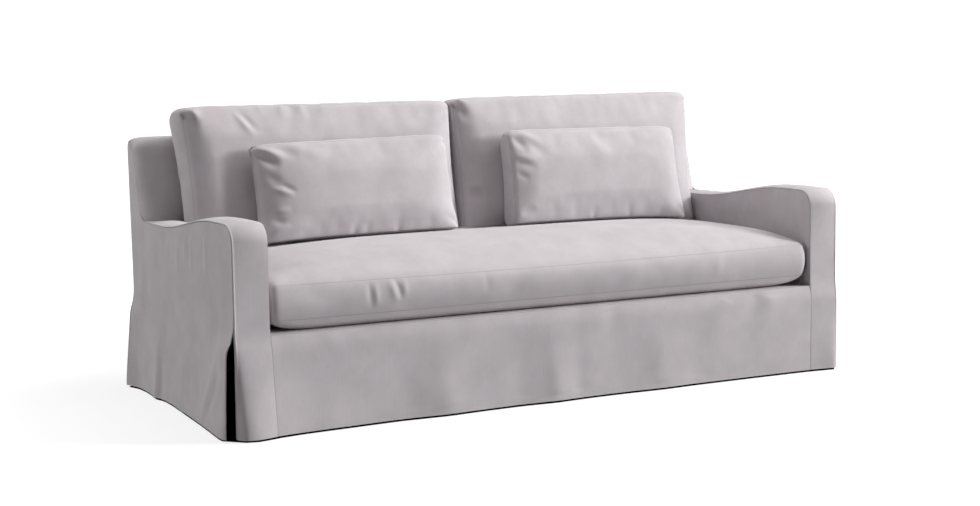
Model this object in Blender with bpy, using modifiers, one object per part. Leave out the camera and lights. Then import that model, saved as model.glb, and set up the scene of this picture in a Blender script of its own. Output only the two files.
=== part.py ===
"""A fitted sofa cover with its loose cushions, in Blender 4.5.

The cover is ten cut panels of brushed cotton, hung as on the sofa it fits. The sofa itself is left out, so the
arms, the back and the base are hollow. A bench cushion, two back cushions and two lumbar pillows lie in it.
X runs to the viewer's right, Y to the back and Z up, in metres. The origin is on the floor, below the middle.
"""

import math

import bmesh
import bpy
import numpy as np
from mathutils import Vector
from mathutils.bvhtree import BVHTree

# ---------------------------------------------------------------- driving sizes
WIDTH = 2.200  # over the outer faces of the arms
FRONT_Y = -0.500  # front face of the arms
ARM_WIDTH = 0.110
ARM_TOP = 0.622  # crest of the arm, near its front
ARM_DIP = 0.568  # where the arm meets the back
CREST_Y, DIP_Y = -0.330, 0.150  # the arm's top slopes down between these
SHOULDER = 0.058  # radius of the arm's round front
BAND_CROWN = 0.009  # the arm's top is a little fuller in its middle
DECK_TOP = 0.294  # platform below the bench cushion
BACK_TOP = 0.844
VENT_TOP = 0.294  # the skirt is open at its four corners below this
CLOTH = 0.002
SEAM = 0.0004  # between two panels that are sewn together
ROLL_SEAM = 0.0015  # between two panels that meet round an edge
HEEL_SEAM = 0.0009  # between the two panels that meet below the back's rear edge
UNDER = CLOTH + SEAM  # how far a panel stops short of one that covers its edge
PRESSED = 0.0006  # between cushions that lean on each other
FOOT_SPREAD, LEAN_SPREAD = 0.014, 0.036  # about half the spacing of their points

HALF = WIDTH / 2
INNER = HALF - ARM_WIDTH  # inner face of the arms

# The back, seen from the side: front face, rounded top, rear face.
BACK_FOOT_Y, BACK_HEAD_Y = 0.264, 0.411  # front face at the deck and at the top
REAR_FOOT_Y, REAR_HEAD_Y = 0.500, 0.514  # rear face at the vents and at the top
FRONT_ROLL, REAR_ROLL = 0.048, 0.038  # radii of the two top edges
END_ROLL = 0.042  # how far the back's ends round off towards its front, seen from above
REAR_SHARE = 0.25  # the same edges are this much tighter at the rear

# Hem of the outside arm from front to back: how far it stands out.
SIDE_HEM = [
    # y, out
    (-0.512, 0.038),
    (-0.495, 0.045),
    (-0.458, 0.045),
    (-0.365, 0.037),
    (-0.242, 0.027),
    (-0.125, 0.020),
    (-0.002, 0.012),
    (0.095, 0.006),
    (0.176, 0.005),
    (0.212, 0.010),
    (0.240, 0.020),
    (0.268, 0.013),
    (0.319, 0.010),
    (0.376, 0.008),
    (0.438, 0.011),
    (0.480, 0.023),
    (0.505, 0.031),
]
# Hem across the front, arm to arm: how far it stands forward.
FRONT_HEM = [
    # x, forward
    (-1.100, 0.024),
    (-1.090, 0.048),
    (-1.068, 0.058),
    (-1.035, 0.056),
    (-0.990, 0.040),
    (-0.900, 0.027),
    (-0.740, 0.018),
    (-0.580, 0.009),
    (-0.410, 0.019),
    (-0.300, 0.010),
    (-0.150, 0.005),
    (-0.025, 0.014),
    (0.105, 0.004),
    (0.236, 0.003),
    (0.385, 0.009),
    (0.531, 0.002),
    (0.768, 0.001),
    (0.900, 0.002),
    (0.990, 0.004),
    (1.035, 0.008),
    (1.068, 0.013),
    (1.090, 0.014),
    (1.100, 0.008),
]
# Hem across the back: how far it stands behind the rear face.
REAR_HEM = [
    # x, backward
    (-1.100, 0.036),
    (-1.040, 0.040),
    (-0.940, 0.030),
    (-0.700, 0.021),
    (-0.450, 0.028),
    (-0.200, 0.019),
    (0.000, 0.026),
    (0.250, 0.018),
    (0.480, 0.027),
    (0.720, 0.020),
    (0.940, 0.030),
    (1.040, 0.040),
    (1.100, 0.036),
]
HEM_DEPTH = 0.020  # the stitched hem hangs plumb
SKIRT_ROWS = [0.0, HEM_DEPTH, 0.090, 0.165, 0.225, 0.260, VENT_TOP]  # heights of the skirt's rows
POP = 0.008  # the skirt stands off by this just below the deck
POP_DEPTH = 0.035
# The right side hangs closer in front than the left does.
RIGHT_SHARE = [
    # y, share of SIDE_HEM
    (-0.512, 0.25),
    (-0.200, 0.45),
    (0.200, 0.90),
    (0.505, 1.00),
]
BAND_SPREAD = 0.006  # the left band's hem reaches this much past the arm
VENT_FOLD = 0.016  # cloth turned in along an open corner, at the hem
LEFT_LIP_Y, RIGHT_LIP_Y = -0.512, -0.488  # front edges of the outside arms, at the hem
SIDE_TAIL_Y = 0.510  # and their rear edges

# Cushions, seen from the side. "left" and "right" are the ends of each along X.
BACK_CUSHION = {"front_foot": (0.165, 0.472), "front_head": (0.250, 0.944)}
BACK_CUSHION |= {"rear_foot": (0.310, 0.472), "rear_head": (0.420, 0.892)}
LUMBAR = {"front_foot": (0.040, 0.480), "front_head": (0.118, 0.832)}
LUMBAR |= {"rear_foot": (0.150, 0.480), "rear_head": (0.205, 0.800)}
BACK_FULLNESS, LUMBAR_FULLNESS = 0.026, 0.020  # how far the middle of a panel swells past its seams
TOP_FULLNESS = 0.005  # and the middle of the strip along their tops
LUMBAR_LEAN = 0.18  # metres back for each metre up
SIDE_DRAW, CORNER_DRAW, CORNER_SAG = 0.010, 0.014, 0.006  # a loose cushion's ends and corners pull in
LOOSE_CUSHIONS = [
    # name, shape, ends at the foot, how far each leans out at the head, lift of each top corner
    ("back_cushion_left", BACK_CUSHION, (-0.980, -0.004), (0.014, 0.004), (0.006, 0.004)),
    ("back_cushion_right", BACK_CUSHION, (0.002, 0.978), (0.004, 0.016), (0.010, 0.012)),
    ("lumbar_pillow_left", LUMBAR, (-0.792, -0.072), (0.004, -0.014), (-0.006, 0.006)),
    ("lumbar_pillow_right", LUMBAR, (0.138, 0.860), (-0.012, -0.010), (0.010, 0.004)),
]
BENCH_LEFT, BENCH_RIGHT = -0.970, 0.980
BENCH_FRONT, BENCH_REAR = -0.497, 0.258
BENCH_SEAM_LOW, BENCH_SEAM_HIGH = 0.332, 0.439
BENCH_CROWN = 0.510
BENCH_FLAT_FRONT = -0.15  # the crown falls away in front of this share of the depth, from -1 to 1
BENCH_WORN = 0.32  # the crown is lower by this share where the back cushions stand
BENCH_END_LIFT, BENCH_REAR_LIFT = 0.006, 0.012  # the top seam rises towards the ends
BENCH_TURN_IN, BENCH_BULGE, BENCH_END_DRAW = 0.014, 0.003, 0.004  # of the strip between the seams
BENCH_UNDER_CURVE = 0.3  # share of the way down to the platform at the lower edges


# ---------------------------------------------------------------- helpers
def smooth(share):
    """0 to 1 with a soft start and end."""
    share = min(1.0, max(0.0, share))
    return share * share * (3 - 2 * share)


def between(low, high, share):
    return low + (high - low) * share


def along(table, place):
    """A table's second column at a place in its first."""
    places, values = zip(*table)
    return float(np.interp(place, places, values))


def collection(name):
    made = bpy.data.collections.new(name)
    bpy.context.scene.collection.children.link(made)
    return made


def cloth_material(name, colour):
    made = bpy.data.materials.new(name)
    made.use_nodes = True
    shader = made.node_tree.nodes["Principled BSDF"]
    shader.inputs["Base Color"].default_value = (*colour, 1)
    shader.inputs["Roughness"].default_value = 0.92
    shader.inputs["Metallic"].default_value = 0.0
    made.diffuse_color = (*colour, 1)
    return made


def new_object(name, bm, colour, home):
    bmesh.ops.recalc_face_normals(bm, faces=bm.faces)
    mesh = bpy.data.meshes.new(name)
    bm.to_mesh(mesh)
    bm.free()
    mesh.materials.append(cloth_material(name + "_cloth", colour))
    made = bpy.data.objects.new(name, mesh)
    home.objects.link(made)
    mesh.shade_smooth()
    mesh.set_sharp_from_angle(angle=math.radians(50))
    return made


# ---------------------------------------------------------------- outlines, seen from the side as (y, z)
def back_face_y(z):
    """Front face of the sofa's back, which leans."""
    return between(BACK_FOOT_Y, BACK_HEAD_Y, (z - DECK_TOP) / (BACK_TOP - DECK_TOP))


def rear_face_y(z):
    return between(REAR_FOOT_Y, REAR_HEAD_Y, (z - VENT_TOP) / (BACK_TOP - VENT_TOP))


def arc(centre, radius, first, last, steps):
    """Points round a centre, in degrees from +Y towards +Z."""
    turns = [math.radians(between(first, last, step / steps)) for step in range(steps + 1)]
    return [(centre[0] + radius * math.cos(turn), centre[1] + radius * math.sin(turn)) for turn in turns]


def inward(points, distances):
    """An outline moved to its right-hand side as one walks along it, by one distance or by one for each point."""
    points = [Vector(point) for point in points]
    distances = np.broadcast_to(distances, len(points))
    moved = []
    for i, here in enumerate(points):
        run_in = (here - points[max(0, i - 1)]).normalized()
        run_out = (points[min(len(points) - 1, i + 1)] - here).normalized()
        ahead = (run_in + run_out).normalized()
        side = Vector((ahead.y, -ahead.x))
        reach = max(ahead.dot(run_in), ahead.dot(run_out), 0.5)
        moved.append(here + side * distances[i] / reach)
    return [tuple(point) for point in moved]


def arm_profile():
    """The arm's top: round the shoulder from its front, then down the slope to the back."""
    points = arc((FRONT_Y + SHOULDER, ARM_TOP - SHOULDER), SHOULDER, 180, 90, 6)
    steps = 9
    for step in range(steps + 1):
        share = step / steps
        points.append((between(CREST_Y, DIP_Y, share), between(ARM_TOP, ARM_DIP, smooth(share))))
    return points + [(y, ARM_DIP) for y in (0.190, 0.215, 0.240, 0.265, 0.30)]


def back_profile():
    """The back: up its front face and over its top to the rear face."""
    foot, head = DECK_TOP - CLOTH, BACK_TOP - FRONT_ROLL
    heights = [foot, 0.43, ARM_DIP + 2 * SEAM, 0.65, 0.73, head - 0.02]
    points = [(back_face_y(z), z) for z in heights]
    points += arc((back_face_y(head) + FRONT_ROLL, head), FRONT_ROLL, 180, 90, ROLL_ROWS - 1)
    heel = BACK_TOP - REAR_ROLL
    return points + arc((rear_face_y(heel) - REAR_ROLL, heel), REAR_ROLL, 90, 0, ROLL_ROWS - 1)


ARM_ROW = 2  # the row of back_profile() that lies on the arms
FRONT_ROWS, ROLL_ROWS = 6, 5  # its rows up the front face and round each top edge


def end_insets(turned, gap=0.0):
    """How far in the back's ends lie, row by row of back_profile(): as far as turned in front, and less at the rear."""
    in_front = [turned + gap] * (FRONT_ROWS + ROLL_ROWS)
    return in_front + [REAR_SHARE * turned + 2 * gap] * ROLL_ROWS


def rolled(x):
    """How far the back's ends have turned away from its front face, by place along X."""
    past = min(1.0, max(0.0, (abs(x) - (HALF - END_ROLL)) / END_ROLL))
    return END_ROLL * (1 - math.sqrt(max(0.0, 1 - past * past)))


# ---------------------------------------------------------------- how the skirt hangs
def drop(z):
    """0 at the top of the open corners and 1 at the stitched hem, which hangs plumb."""
    return min(1.0, max(0.0, (VENT_TOP - z) / (VENT_TOP - HEM_DEPTH)))


def stood_off(reach, z):
    """A skirt's reach at a height: it steps off the sofa at once and then flares slowly."""
    return POP * smooth((VENT_TOP - z) / POP_DEPTH) + (reach - POP) * drop(z) ** 1.1


def side_out(y, z, side):
    """How far the outside arm stands out. Next to an open corner it kicks out at once."""
    reach = along(SIDE_HEM, y) * (1.0 if side < 0 else along(RIGHT_SHARE, y))
    near_corner = max(smooth((-0.28 - y) / 0.16), smooth((y - 0.34) / 0.10))
    kick = 0.55 * reach * near_corner
    return kick * smooth((VENT_TOP - z) / POP_DEPTH) + (reach - kick) * drop(z) ** 1.15


def front_out(x, z):
    return stood_off(along(FRONT_HEM, x), z)


def rear_out(x, z):
    return stood_off(along(REAR_HEM, x), z)


# ---------------------------------------------------------------- panels
def panel(name, columns, rows, place, outside, colour, home, left_out=None, turned_in=()):
    """A sheet of cloth: a flat grid put in place point by point, with the thickness behind its outer face.

    place(column, row) gives a point of the outer face, and outside is a direction that it faces. left_out(column,
    row) drops a cell. turned_in holds (column, row after the last, shift) for the edges that fold in.
    """
    bm = bmesh.new()
    bmesh.ops.create_grid(bm, x_segments=columns, y_segments=rows, size=1)
    cells = {}
    for vert in bm.verts:
        cell = (round((vert.co.x + 1) / 2 * columns), round((vert.co.y + 1) / 2 * rows))
        cells[cell] = vert
    if left_out:
        corners = {vert: cell for cell, vert in cells.items()}
        unwanted = []
        for face in bm.faces:
            column = min(corners[vert][0] for vert in face.verts)
            row = min(corners[vert][1] for vert in face.verts)
            if left_out(column, row):
                unwanted.append(face)
        bmesh.ops.delete(bm, geom=unwanted, context="FACES")
    for cell, vert in cells.items():
        if vert.is_valid:
            vert.co = place(*cell)
    for column, last, shift in turned_in:
        pairs = [(cells[column, row], cells[column, row + 1]) for row in range(last)]
        edges = [bm.edges.get(pair) for pair in pairs]
        made = bmesh.ops.extrude_edge_only(bm, edges=edges)
        for vert in made["geom"]:
            if isinstance(vert, bmesh.types.BMVert):
                vert.co += Vector(shift(vert.co.z))
    bmesh.ops.remove_doubles(bm, verts=bm.verts, dist=0.00002)
    sheet = new_object(name, bm, colour, home)
    largest = max(sheet.data.polygons, key=lambda polygon: polygon.area)
    if largest.normal.dot(Vector(outside)) < 0:
        sheet.data.flip_normals()
    solidify = sheet.modifiers.new("cloth thickness", "SOLIDIFY")
    solidify.thickness = CLOTH
    solidify.offset = -1
    return sheet


def outside_arm(name, side, colour, home):
    """From the hem to the arm's seam, and on up the side of the back, in one piece."""
    crest = inward(arm_profile(), UNDER)
    crest[0] = (FRONT_Y + UNDER, crest[0][1])
    insets = end_insets(END_ROLL, ROLL_SEAM)
    back = inward(back_profile(), insets)[ARM_ROW:]
    back[0] = (back[0][0], ARM_DIP - UNDER)
    heel = BACK_TOP - REAR_ROLL
    back[-1] = (rear_face_y(heel) - insets[-1], heel)
    tops = crest + back
    tail_y = rear_face_y(VENT_TOP) - insets[-1]
    lip_y = LEFT_LIP_Y if side < 0 else RIGHT_LIP_Y
    columns = len(tops) - 1
    skirt = len(SKIRT_ROWS) - 1
    upper = 3

    def place(column, row):
        share = (tops[column][0] - tops[0][0]) / (tops[-1][0] - tops[0][0])
        vent_y = between(tops[0][0], tail_y, share)
        if row > skirt:
            top_y, top_z = tops[column]
            up = (row - skirt) / upper
            return side * HALF, between(vent_y, top_y, up), between(VENT_TOP, top_z, up)
        z = SKIRT_ROWS[row]
        y = between(vent_y, between(lip_y, SIDE_TAIL_Y, share), drop(z))
        return side * (HALF + side_out(y, z, side)), y, z

    def fold(z):
        return -side * VENT_FOLD * drop(z) ** 0.6, 0, 0

    edges = [(0, skirt, fold), (columns, skirt, fold)]
    return panel(name, columns, skirt + upper, place, (side, 0, 0), colour, home, turned_in=edges)


def arm_band(name, side, colour, home):
    """One strip: up the front of the arm from the hem, over the shoulder and down the arm's top."""
    across = [0.0, 0.25, 0.5, 0.70, 0.82, 0.91, 0.965, 1.0]  # inner seam to outer seam
    rising = [(FRONT_Y, z) for z in (0.38, 0.48)]
    tops = rising + arm_profile() + [(back_face_y(ARM_DIP - CLOTH) - SEAM, ARM_DIP)]
    skirt = len(SKIRT_ROWS) - 1
    crowned = inward(tops, -BAND_CROWN)
    spread = BAND_SPREAD if side < 0 else 0.0

    def place(column, row):
        t = across[column]
        x = between(INNER, HALF, t)
        if row <= skirt:
            z = SKIRT_ROWS[row]
            return side * (x + spread * t * drop(z)), FRONT_Y - front_out(side * x, z), z
        i = row - skirt - 1
        swell = 4 * t * (1 - t) * smooth(i / 4) * smooth((len(tops) - 1 - i) / 3)
        y = between(tops[i][0], crowned[i][0], swell)
        z = between(tops[i][1], crowned[i][1], swell)
        if i == len(tops) - 1:
            y += rolled(x)
        return side * x, y, z

    def fold(z):
        return -side * 0.3 * VENT_FOLD * drop(z), 0.85 * VENT_FOLD * drop(z) ** 0.6, 0

    edges = [(len(across) - 1, skirt, fold)]
    rows = skirt + len(tops)
    return panel(name, len(across) - 1, rows, place, (0, -1, 0), colour, home, turned_in=edges)


def inside_arm(name, side, colour, home):
    """From the platform up to the band, on the seat's side of the arm."""
    crest = inward(arm_profile(), UNDER)
    crest[0] = (FRONT_Y + UNDER, crest[0][1])
    reach = back_face_y(ARM_DIP - UNDER) - 2 * SEAM
    tops = crest + [(reach, ARM_DIP - UNDER)]
    foot = DECK_TOP - CLOTH
    foot_end = back_face_y(foot) - SEAM
    columns = len(tops) - 1
    rows = 2

    def place(column, row):
        top_y, top_z = tops[column]
        share = (top_y - tops[0][0]) / (reach - tops[0][0])
        share = between(column / columns, share, 0.6)
        foot_y = between(tops[0][0], foot_end, share)
        return side * INNER, between(foot_y, top_y, row / rows), between(foot, top_z, row / rows)

    return panel(name, columns, rows, place, (-side, 0, 0), colour, home)


def inside_back(name, colour, home):
    """Up from the platform between the arms, wider above them, and over the top of the back."""
    profile = back_profile()
    notch = INNER + CLOTH
    half_run = [0.0, 0.14, 0.30, 0.46, 0.62, 0.78, 0.90, notch]
    half_run += [between(notch, HALF - END_ROLL, 0.5)]
    half_run += [HALF - END_ROLL + END_ROLL * math.sin(math.radians(turn)) for turn in (0, 30, 60, 90)]
    run = [-x for x in half_run[:0:-1]] + half_run
    rows = {x: inward(profile, end_insets(rolled(x))) for x in run}

    def place(column, row):
        x = run[column]
        y, z = profile[row]
        if row == ARM_ROW:
            return x, y + rolled(x), z
        if row == len(profile) - 1:
            return x, y - REAR_SHARE * rolled(x), z
        return x, *rows[x][row]

    def left_out(column, row):
        middle = (run[column] + run[column + 1]) / 2
        return row < ARM_ROW and abs(middle) > notch

    return panel(name, len(run) - 1, len(profile) - 1, place, (0, -1, 0), colour, home, left_out=left_out)


def outside_back(name, colour, home):
    """The rear, from the hem to the seam below the top."""
    half_run = [0.0, 0.12, 0.25, 0.36, 0.48, 0.60, 0.72, 0.83, 0.94, 1.02]
    half_run += [HALF - END_ROLL + END_ROLL * math.sin(math.radians(turn)) for turn in (0, 30, 60, 90)]
    run = [-x for x in half_run[:0:-1]] + half_run
    heights = SKIRT_ROWS + [0.43, 0.56, 0.69, BACK_TOP - REAR_ROLL - HEEL_SEAM]

    def place(column, row):
        x, z = run[column], heights[row]
        spread = math.copysign(0.012 * drop(z) * (abs(x) / HALF) ** 8, x)
        return x + spread, rear_face_y(max(z, VENT_TOP)) - REAR_SHARE * rolled(x) + rear_out(x, z), z

    return panel(name, len(run) - 1, len(heights) - 1, place, (0, 1, 0), colour, home)


def front_panel(name, colour, home):
    """From the platform's front edge to the hem, between the two bands."""
    seam = INNER - SEAM
    columns = 28
    heights = SKIRT_ROWS[:-1] + [DECK_TOP - 0.004, DECK_TOP]

    def place(column, row):
        x, z = between(-seam, seam, column / columns), heights[row]
        return x, FRONT_Y - front_out(x, z), z

    return panel(name, columns, len(heights) - 1, place, (0, -1, 0), colour, home)


def deck(name, colour, home):
    """The flat platform below the bench cushion."""
    edge = INNER - SEAM
    front, rear = FRONT_Y + UNDER, back_face_y(DECK_TOP - CLOTH) - SEAM

    def place(column, row):
        return edge * (column - 1), between(front, rear, row), DECK_TOP

    return panel(name, 2, 1, place, (0, 0, 1), colour, home)


# ---------------------------------------------------------------- cushions
def soft_block(name, cuts, shape, colour, home):
    """A filled cushion: a cube, cut where cuts says along each axis, put in shape and subdivided."""
    bm = bmesh.new()
    bmesh.ops.create_cube(bm, size=2)
    for axis, stations in enumerate(cuts):
        direction = Vector([int(axis == i) for i in range(3)])
        for station in stations:
            everything = [*bm.verts, *bm.edges, *bm.faces]
            bmesh.ops.bisect_plane(bm, geom=everything, plane_co=direction * station, plane_no=direction)
    for vert in bm.verts:
        vert.co = shape(*vert.co)
    cushion = new_object(name, bm, colour, home)
    subdivision = cushion.modifiers.new("soft form", "SUBSURF")
    subdivision.levels = 1
    subdivision.render_levels = 1
    return cushion


def press(cushion, against, direction, spread):
    """Pushes back the points of a cushion that would reach into what it leans on, or past its edge by spread."""
    graph = bpy.context.evaluated_depsgraph_get()
    formed = bpy.data.meshes.new_from_object(cushion.evaluated_get(graph))
    cushion.modifiers.clear()
    cushion.data = formed
    wall = BVHTree.FromObject(against, graph)
    direction, spread = Vector(direction), Vector(spread)
    start = 1.0
    for vert in formed.vertices:
        depth = start
        for share in (-1, -0.75, -0.5, -0.25, 0, 0.25, 0.5, 0.75, 1):
            hit, _, _, distance = wall.ray_cast(vert.co + share * spread - direction * start, direction)
            if hit:
                depth = min(depth, distance - PRESSED)
        vert.co += direction * (depth - start)


def full(*shares):
    """How far a face's middle swells: 1 in its middle and 0 along its edges."""
    swell = 1.0
    for share in shares:
        swell *= 1 - abs(share) ** 2.4
    return swell


def bench(name, colour, home):
    """The bench cushion: boxed, crowned, with round lower front corners."""
    middle_x, half_x = (BENCH_LEFT + BENCH_RIGHT) / 2, (BENCH_RIGHT - BENCH_LEFT) / 2
    flat = DECK_TOP + PRESSED

    def crowned(a, b, c):
        """Height above the lower seam's level: the strip, then the top panel with its crown."""
        seam_z = BENCH_SEAM_HIGH + BENCH_END_LIFT * abs(a) ** 3
        seam_z += BENCH_REAR_LIFT * abs(a) ** 4 * smooth((b + 1) / 0.4)
        crown = (BENCH_CROWN - seam_z) * full(abs(a) ** 2.2)
        crown *= 1 - abs(min(0.0, b - BENCH_FLAT_FRONT) / (1 + BENCH_FLAT_FRONT)) ** 3.0
        crown *= 1 - BENCH_WORN * smooth((b - 0.1) / 0.5)
        return between(BENCH_SEAM_LOW, seam_z, c) + crown * smooth((c - 0.6) / 0.4)

    def shape(a, b, c):
        x = middle_x + half_x * a
        y = between(BENCH_FRONT, BENCH_REAR, (b + 1) / 2)
        at_edge = max(abs(a), abs(b)) == 1
        if c > 0:
            z = crowned(a, b, c)
        else:
            z = between(BENCH_SEAM_LOW, flat, -c * (BENCH_UNDER_CURVE if at_edge else 1.0))
        if b == -1:
            y += BENCH_TURN_IN * abs(c) - BENCH_BULGE * (1 - abs(c))
        if abs(a) == 1:
            x -= math.copysign(BENCH_END_DRAW * abs(c), a)
        return x, y, z

    cuts = (
        (-0.975, -0.86, -0.5, -0.17, 0.17, 0.5, 0.86, 0.975),
        (-0.955, -0.75, -0.3, 0.1, 0.45, 0.8),
        (-0.7, 0.0, 0.6),
    )
    return soft_block(name, cuts, shape, colour, home)


def loose_cushion(name, form, ends, leans, lifts, crown, colour, home):
    """A boxed cushion that stands on the bench and leans: four edges along X, seen from the side, and a crown."""
    middle_x, half_x = (ends[0] + ends[1]) / 2, (ends[1] - ends[0]) / 2
    edges = {key: Vector((0, *value)) for key, value in form.items()}
    ahead = Vector((0, -1, 0.2)).normalized()

    def shape(a, b, c):
        up, back = (c + 1) / 2, (b + 1) / 2
        foot = edges["front_foot"].lerp(edges["rear_foot"], back)
        head = edges["front_head"].lerp(edges["rear_head"], back)
        point = foot.lerp(head, up)
        side_draw = SIDE_DRAW * (1 - c * c) + CORNER_DRAW * abs(c) ** 6
        point.x = middle_x + a * (half_x + between(*leans, (a + 1) / 2) * up - side_draw * abs(a) ** 8)
        point.z += up * between(*lifts, (a + 1) / 2)
        point.z -= CORNER_SAG * abs(a) ** 6 * up
        if abs(b) == 1:
            point += ahead * (-b * crown * full(a, c))
        if c == 1:
            point.z += TOP_FULLNESS * full(a, b)
        return point

    cuts = (
        (-0.94, -0.62, -0.22, 0.22, 0.62, 0.94),
        (-0.55, 0.55),
        (-0.90, -0.45, 0.05, 0.55, 0.90),
    )
    return soft_block(name, cuts, shape, colour, home)


# ---------------------------------------------------------------- the whole
def main():
    for old in list(bpy.data.objects):
        bpy.data.objects.remove(old, do_unlink=True)
    home = collection("sofa_slipcover")
    grey, light, dark = (0.56, 0.53, 0.54), (0.60, 0.57, 0.58), (0.50, 0.47, 0.48)
    for side, word in ((-1, "left"), (1, "right")):
        outside_arm("outside_arm_" + word, side, dark, home)
        arm_band("arm_band_" + word, side, light, home)
        inside_arm("inside_arm_" + word, side, grey, home)
    back = inside_back("inside_back", grey, home)
    outside_back("outside_back", dark, home)
    front_panel("front_panel", grey, home)
    deck("deck", dark, home)
    seat = bench("seat_cushion", light, home)
    made = {}
    for name, form, ends, leans, lifts in LOOSE_CUSHIONS:
        if form is BACK_CUSHION:
            crown, leans_on = BACK_FULLNESS, back
            lean = (BACK_HEAD_Y - BACK_FOOT_Y) / (BACK_TOP - DECK_TOP)
        else:
            crown, leans_on = LUMBAR_FULLNESS, made[name.replace("lumbar_pillow", "back_cushion")]
            lean = LUMBAR_LEAN
        cushion = loose_cushion(name, form, ends, leans, lifts, crown, light, home)
        made[name] = cushion
        bpy.context.view_layer.update()
        press(cushion, seat, (0, 0, -1), (0, FOOT_SPREAD, 0))
        press(cushion, leans_on, (0, 1, 0), (0, lean * LEAN_SPREAD, LEAN_SPREAD))


main()
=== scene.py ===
# %% [markdown]
# # A fitted sofa cover with its loose cushions
#
# The real thing is a slipcover: cut panels of brushed cotton, sewn together so that they fit a sofa closely above
# its platform and hang as a skirt below it. A long bench cushion, two back cushions and two lumbar pillows lie in
# it. This lesson dresses the measured model with cloth: sheets for the panels, and filled forms for the cushions.
#
# The measured model comes first. Everything is in metres in its frame: X to the viewer's right, Y to the back and
# Z up, with the floor at zero.

# %% The measured frame
import math

import bpy
import numpy as np
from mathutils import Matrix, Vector
from mathutils.bvhtree import BVHTree
from mathutils.kdtree import KDTree


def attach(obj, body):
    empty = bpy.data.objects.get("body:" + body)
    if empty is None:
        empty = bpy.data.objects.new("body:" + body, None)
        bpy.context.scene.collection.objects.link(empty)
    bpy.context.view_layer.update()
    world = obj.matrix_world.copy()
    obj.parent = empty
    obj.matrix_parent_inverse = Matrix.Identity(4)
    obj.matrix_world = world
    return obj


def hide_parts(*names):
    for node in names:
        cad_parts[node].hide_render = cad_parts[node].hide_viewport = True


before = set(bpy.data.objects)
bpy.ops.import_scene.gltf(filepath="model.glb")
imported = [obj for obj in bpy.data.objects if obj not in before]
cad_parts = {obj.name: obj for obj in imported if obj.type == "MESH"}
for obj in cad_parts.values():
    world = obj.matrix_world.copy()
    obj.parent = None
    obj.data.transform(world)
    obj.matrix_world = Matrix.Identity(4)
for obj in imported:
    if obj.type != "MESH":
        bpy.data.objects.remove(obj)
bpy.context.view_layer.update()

# %% [markdown]
# ## The camera
#
# The sofa is seen from its left front, a little above its seat. A long lens from six metres away keeps its lines
# almost parallel. The camera rolls by less than a degree, as a hand-levelled tripod does.

# %% Camera
bpy.ops.object.select_all(action="DESELECT")
turn = [math.radians(degrees) for degrees in (83.4897, 0.8093, -27.9568)]
bpy.ops.object.camera_add(location=(-2.8268, -5.3627, 1.117), rotation=turn)
camera = bpy.context.object
camera.name = "camera"
camera.data.sensor_width = 36
camera.data.lens = 65.376
camera.data.clip_end = 80
bpy.context.scene.camera = camera

# %% [markdown]
# ## Helpers for placing points
#
# Sheets of cloth are easiest to shape from a flat grid whose points are put in place one by one, as a cutter plots
# a pattern. These few functions do that, and read or write all of a mesh's points at once.


# %% Helpers
def smooth(share):
    """0 to 1 with a soft start and end, for one number or an array."""
    share = np.clip(share, 0.0, 1.0)
    return share * share * (3 - 2 * share)


def between(low, high, share):
    return low + (high - low) * share


def along(table, place):
    """A table's second column at a place in its first."""
    places, values = zip(*table)
    return np.interp(place, places, values)


def metres(table):
    """A table in millimetres, in metres."""
    return [(place / 1000, value / 1000) for place, value in table]


def alone(piece):
    """Makes one piece the only one selected, and active."""
    bpy.ops.object.select_all(action="DESELECT")
    piece.select_set(True)
    bpy.context.view_layer.objects.active = piece


def points_of(piece):
    flat = np.empty(len(piece.data.vertices) * 3)
    piece.data.vertices.foreach_get("co", flat)
    return flat.reshape(-1, 3)


def put_points(piece, points):
    piece.data.vertices.foreach_set("co", np.ascontiguousarray(points).ravel())
    piece.data.update()


def normals_of(piece):
    flat = np.empty(len(piece.data.vertices) * 3)
    piece.data.vertex_normals.foreach_get("vector", flat)
    return flat.reshape(-1, 3)


def finished_by(piece, kind, **settings):
    """Adds a modifier with these settings and applies it."""
    alone(piece)
    modifier = piece.modifiers.new(kind.lower(), kind)
    for key, value in settings.items():
        setattr(modifier, key, value)
    bpy.ops.object.modifier_apply(modifier=modifier.name)


def subdivided(piece, levels, **settings):
    finished_by(piece, "SUBSURF", levels=levels, render_levels=levels, **settings)


# %% [markdown]
# ## The cloth
#
# The fabric is a heavy cotton twill, piece-dyed a warm grey and brushed on its face. Brushing raises a short nap,
# which makes the cloth matt, lightens its edges with a soft sheen, and leaves faint cloudy patches where the nap
# lies another way. The threads are about 0.5 mm apart, which is far too fine to show from six metres, so the slubs
# are drawn as streaks 4 mm apart, and the nap as a bump of 3 mm grains.


# %% Materials
def linear(hex_code):
    """An sRGB hex colour as linear red, green, blue and 1."""
    channels = [int(hex_code[i : i + 2], 16) / 255 for i in (1, 3, 5)]
    return [c / 12.92 if c <= 0.04045 else ((c + 0.055) / 1.055) ** 2.4 for c in channels] + [1.0]


def node(tree, kind, sockets=None, **settings):
    """Adds a node, with its settings, and its sockets' values or links."""
    made = tree.nodes.new("ShaderNode" + kind)
    for key, value in settings.items():
        setattr(made, key, value)
    for key, value in (sockets or {}).items():
        if isinstance(value, bpy.types.NodeSocket):
            tree.links.new(value, made.inputs[key])
        else:
            made.inputs[key].default_value = value
    return made


def new_material(name):
    """A material with nodes. Returns it, its node tree and its shader."""
    made = bpy.data.materials.new(name)
    made.use_nodes = True
    return made, made.node_tree, made.node_tree.nodes["Principled BSDF"]


def dialled(shader, values):
    for socket, value in values.items():
        shader.inputs[socket].default_value = value


PATCH = 0.090  # across a cloudy patch in the nap
SLUB = 0.004  # between two slubs, drawn coarse enough to show
GRAIN = 0.003  # across a tuft of nap
STITCH = 0.0020  # half the width of a seam's groove, its bump and its painted shade, drawn a little wide so that it shows


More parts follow.
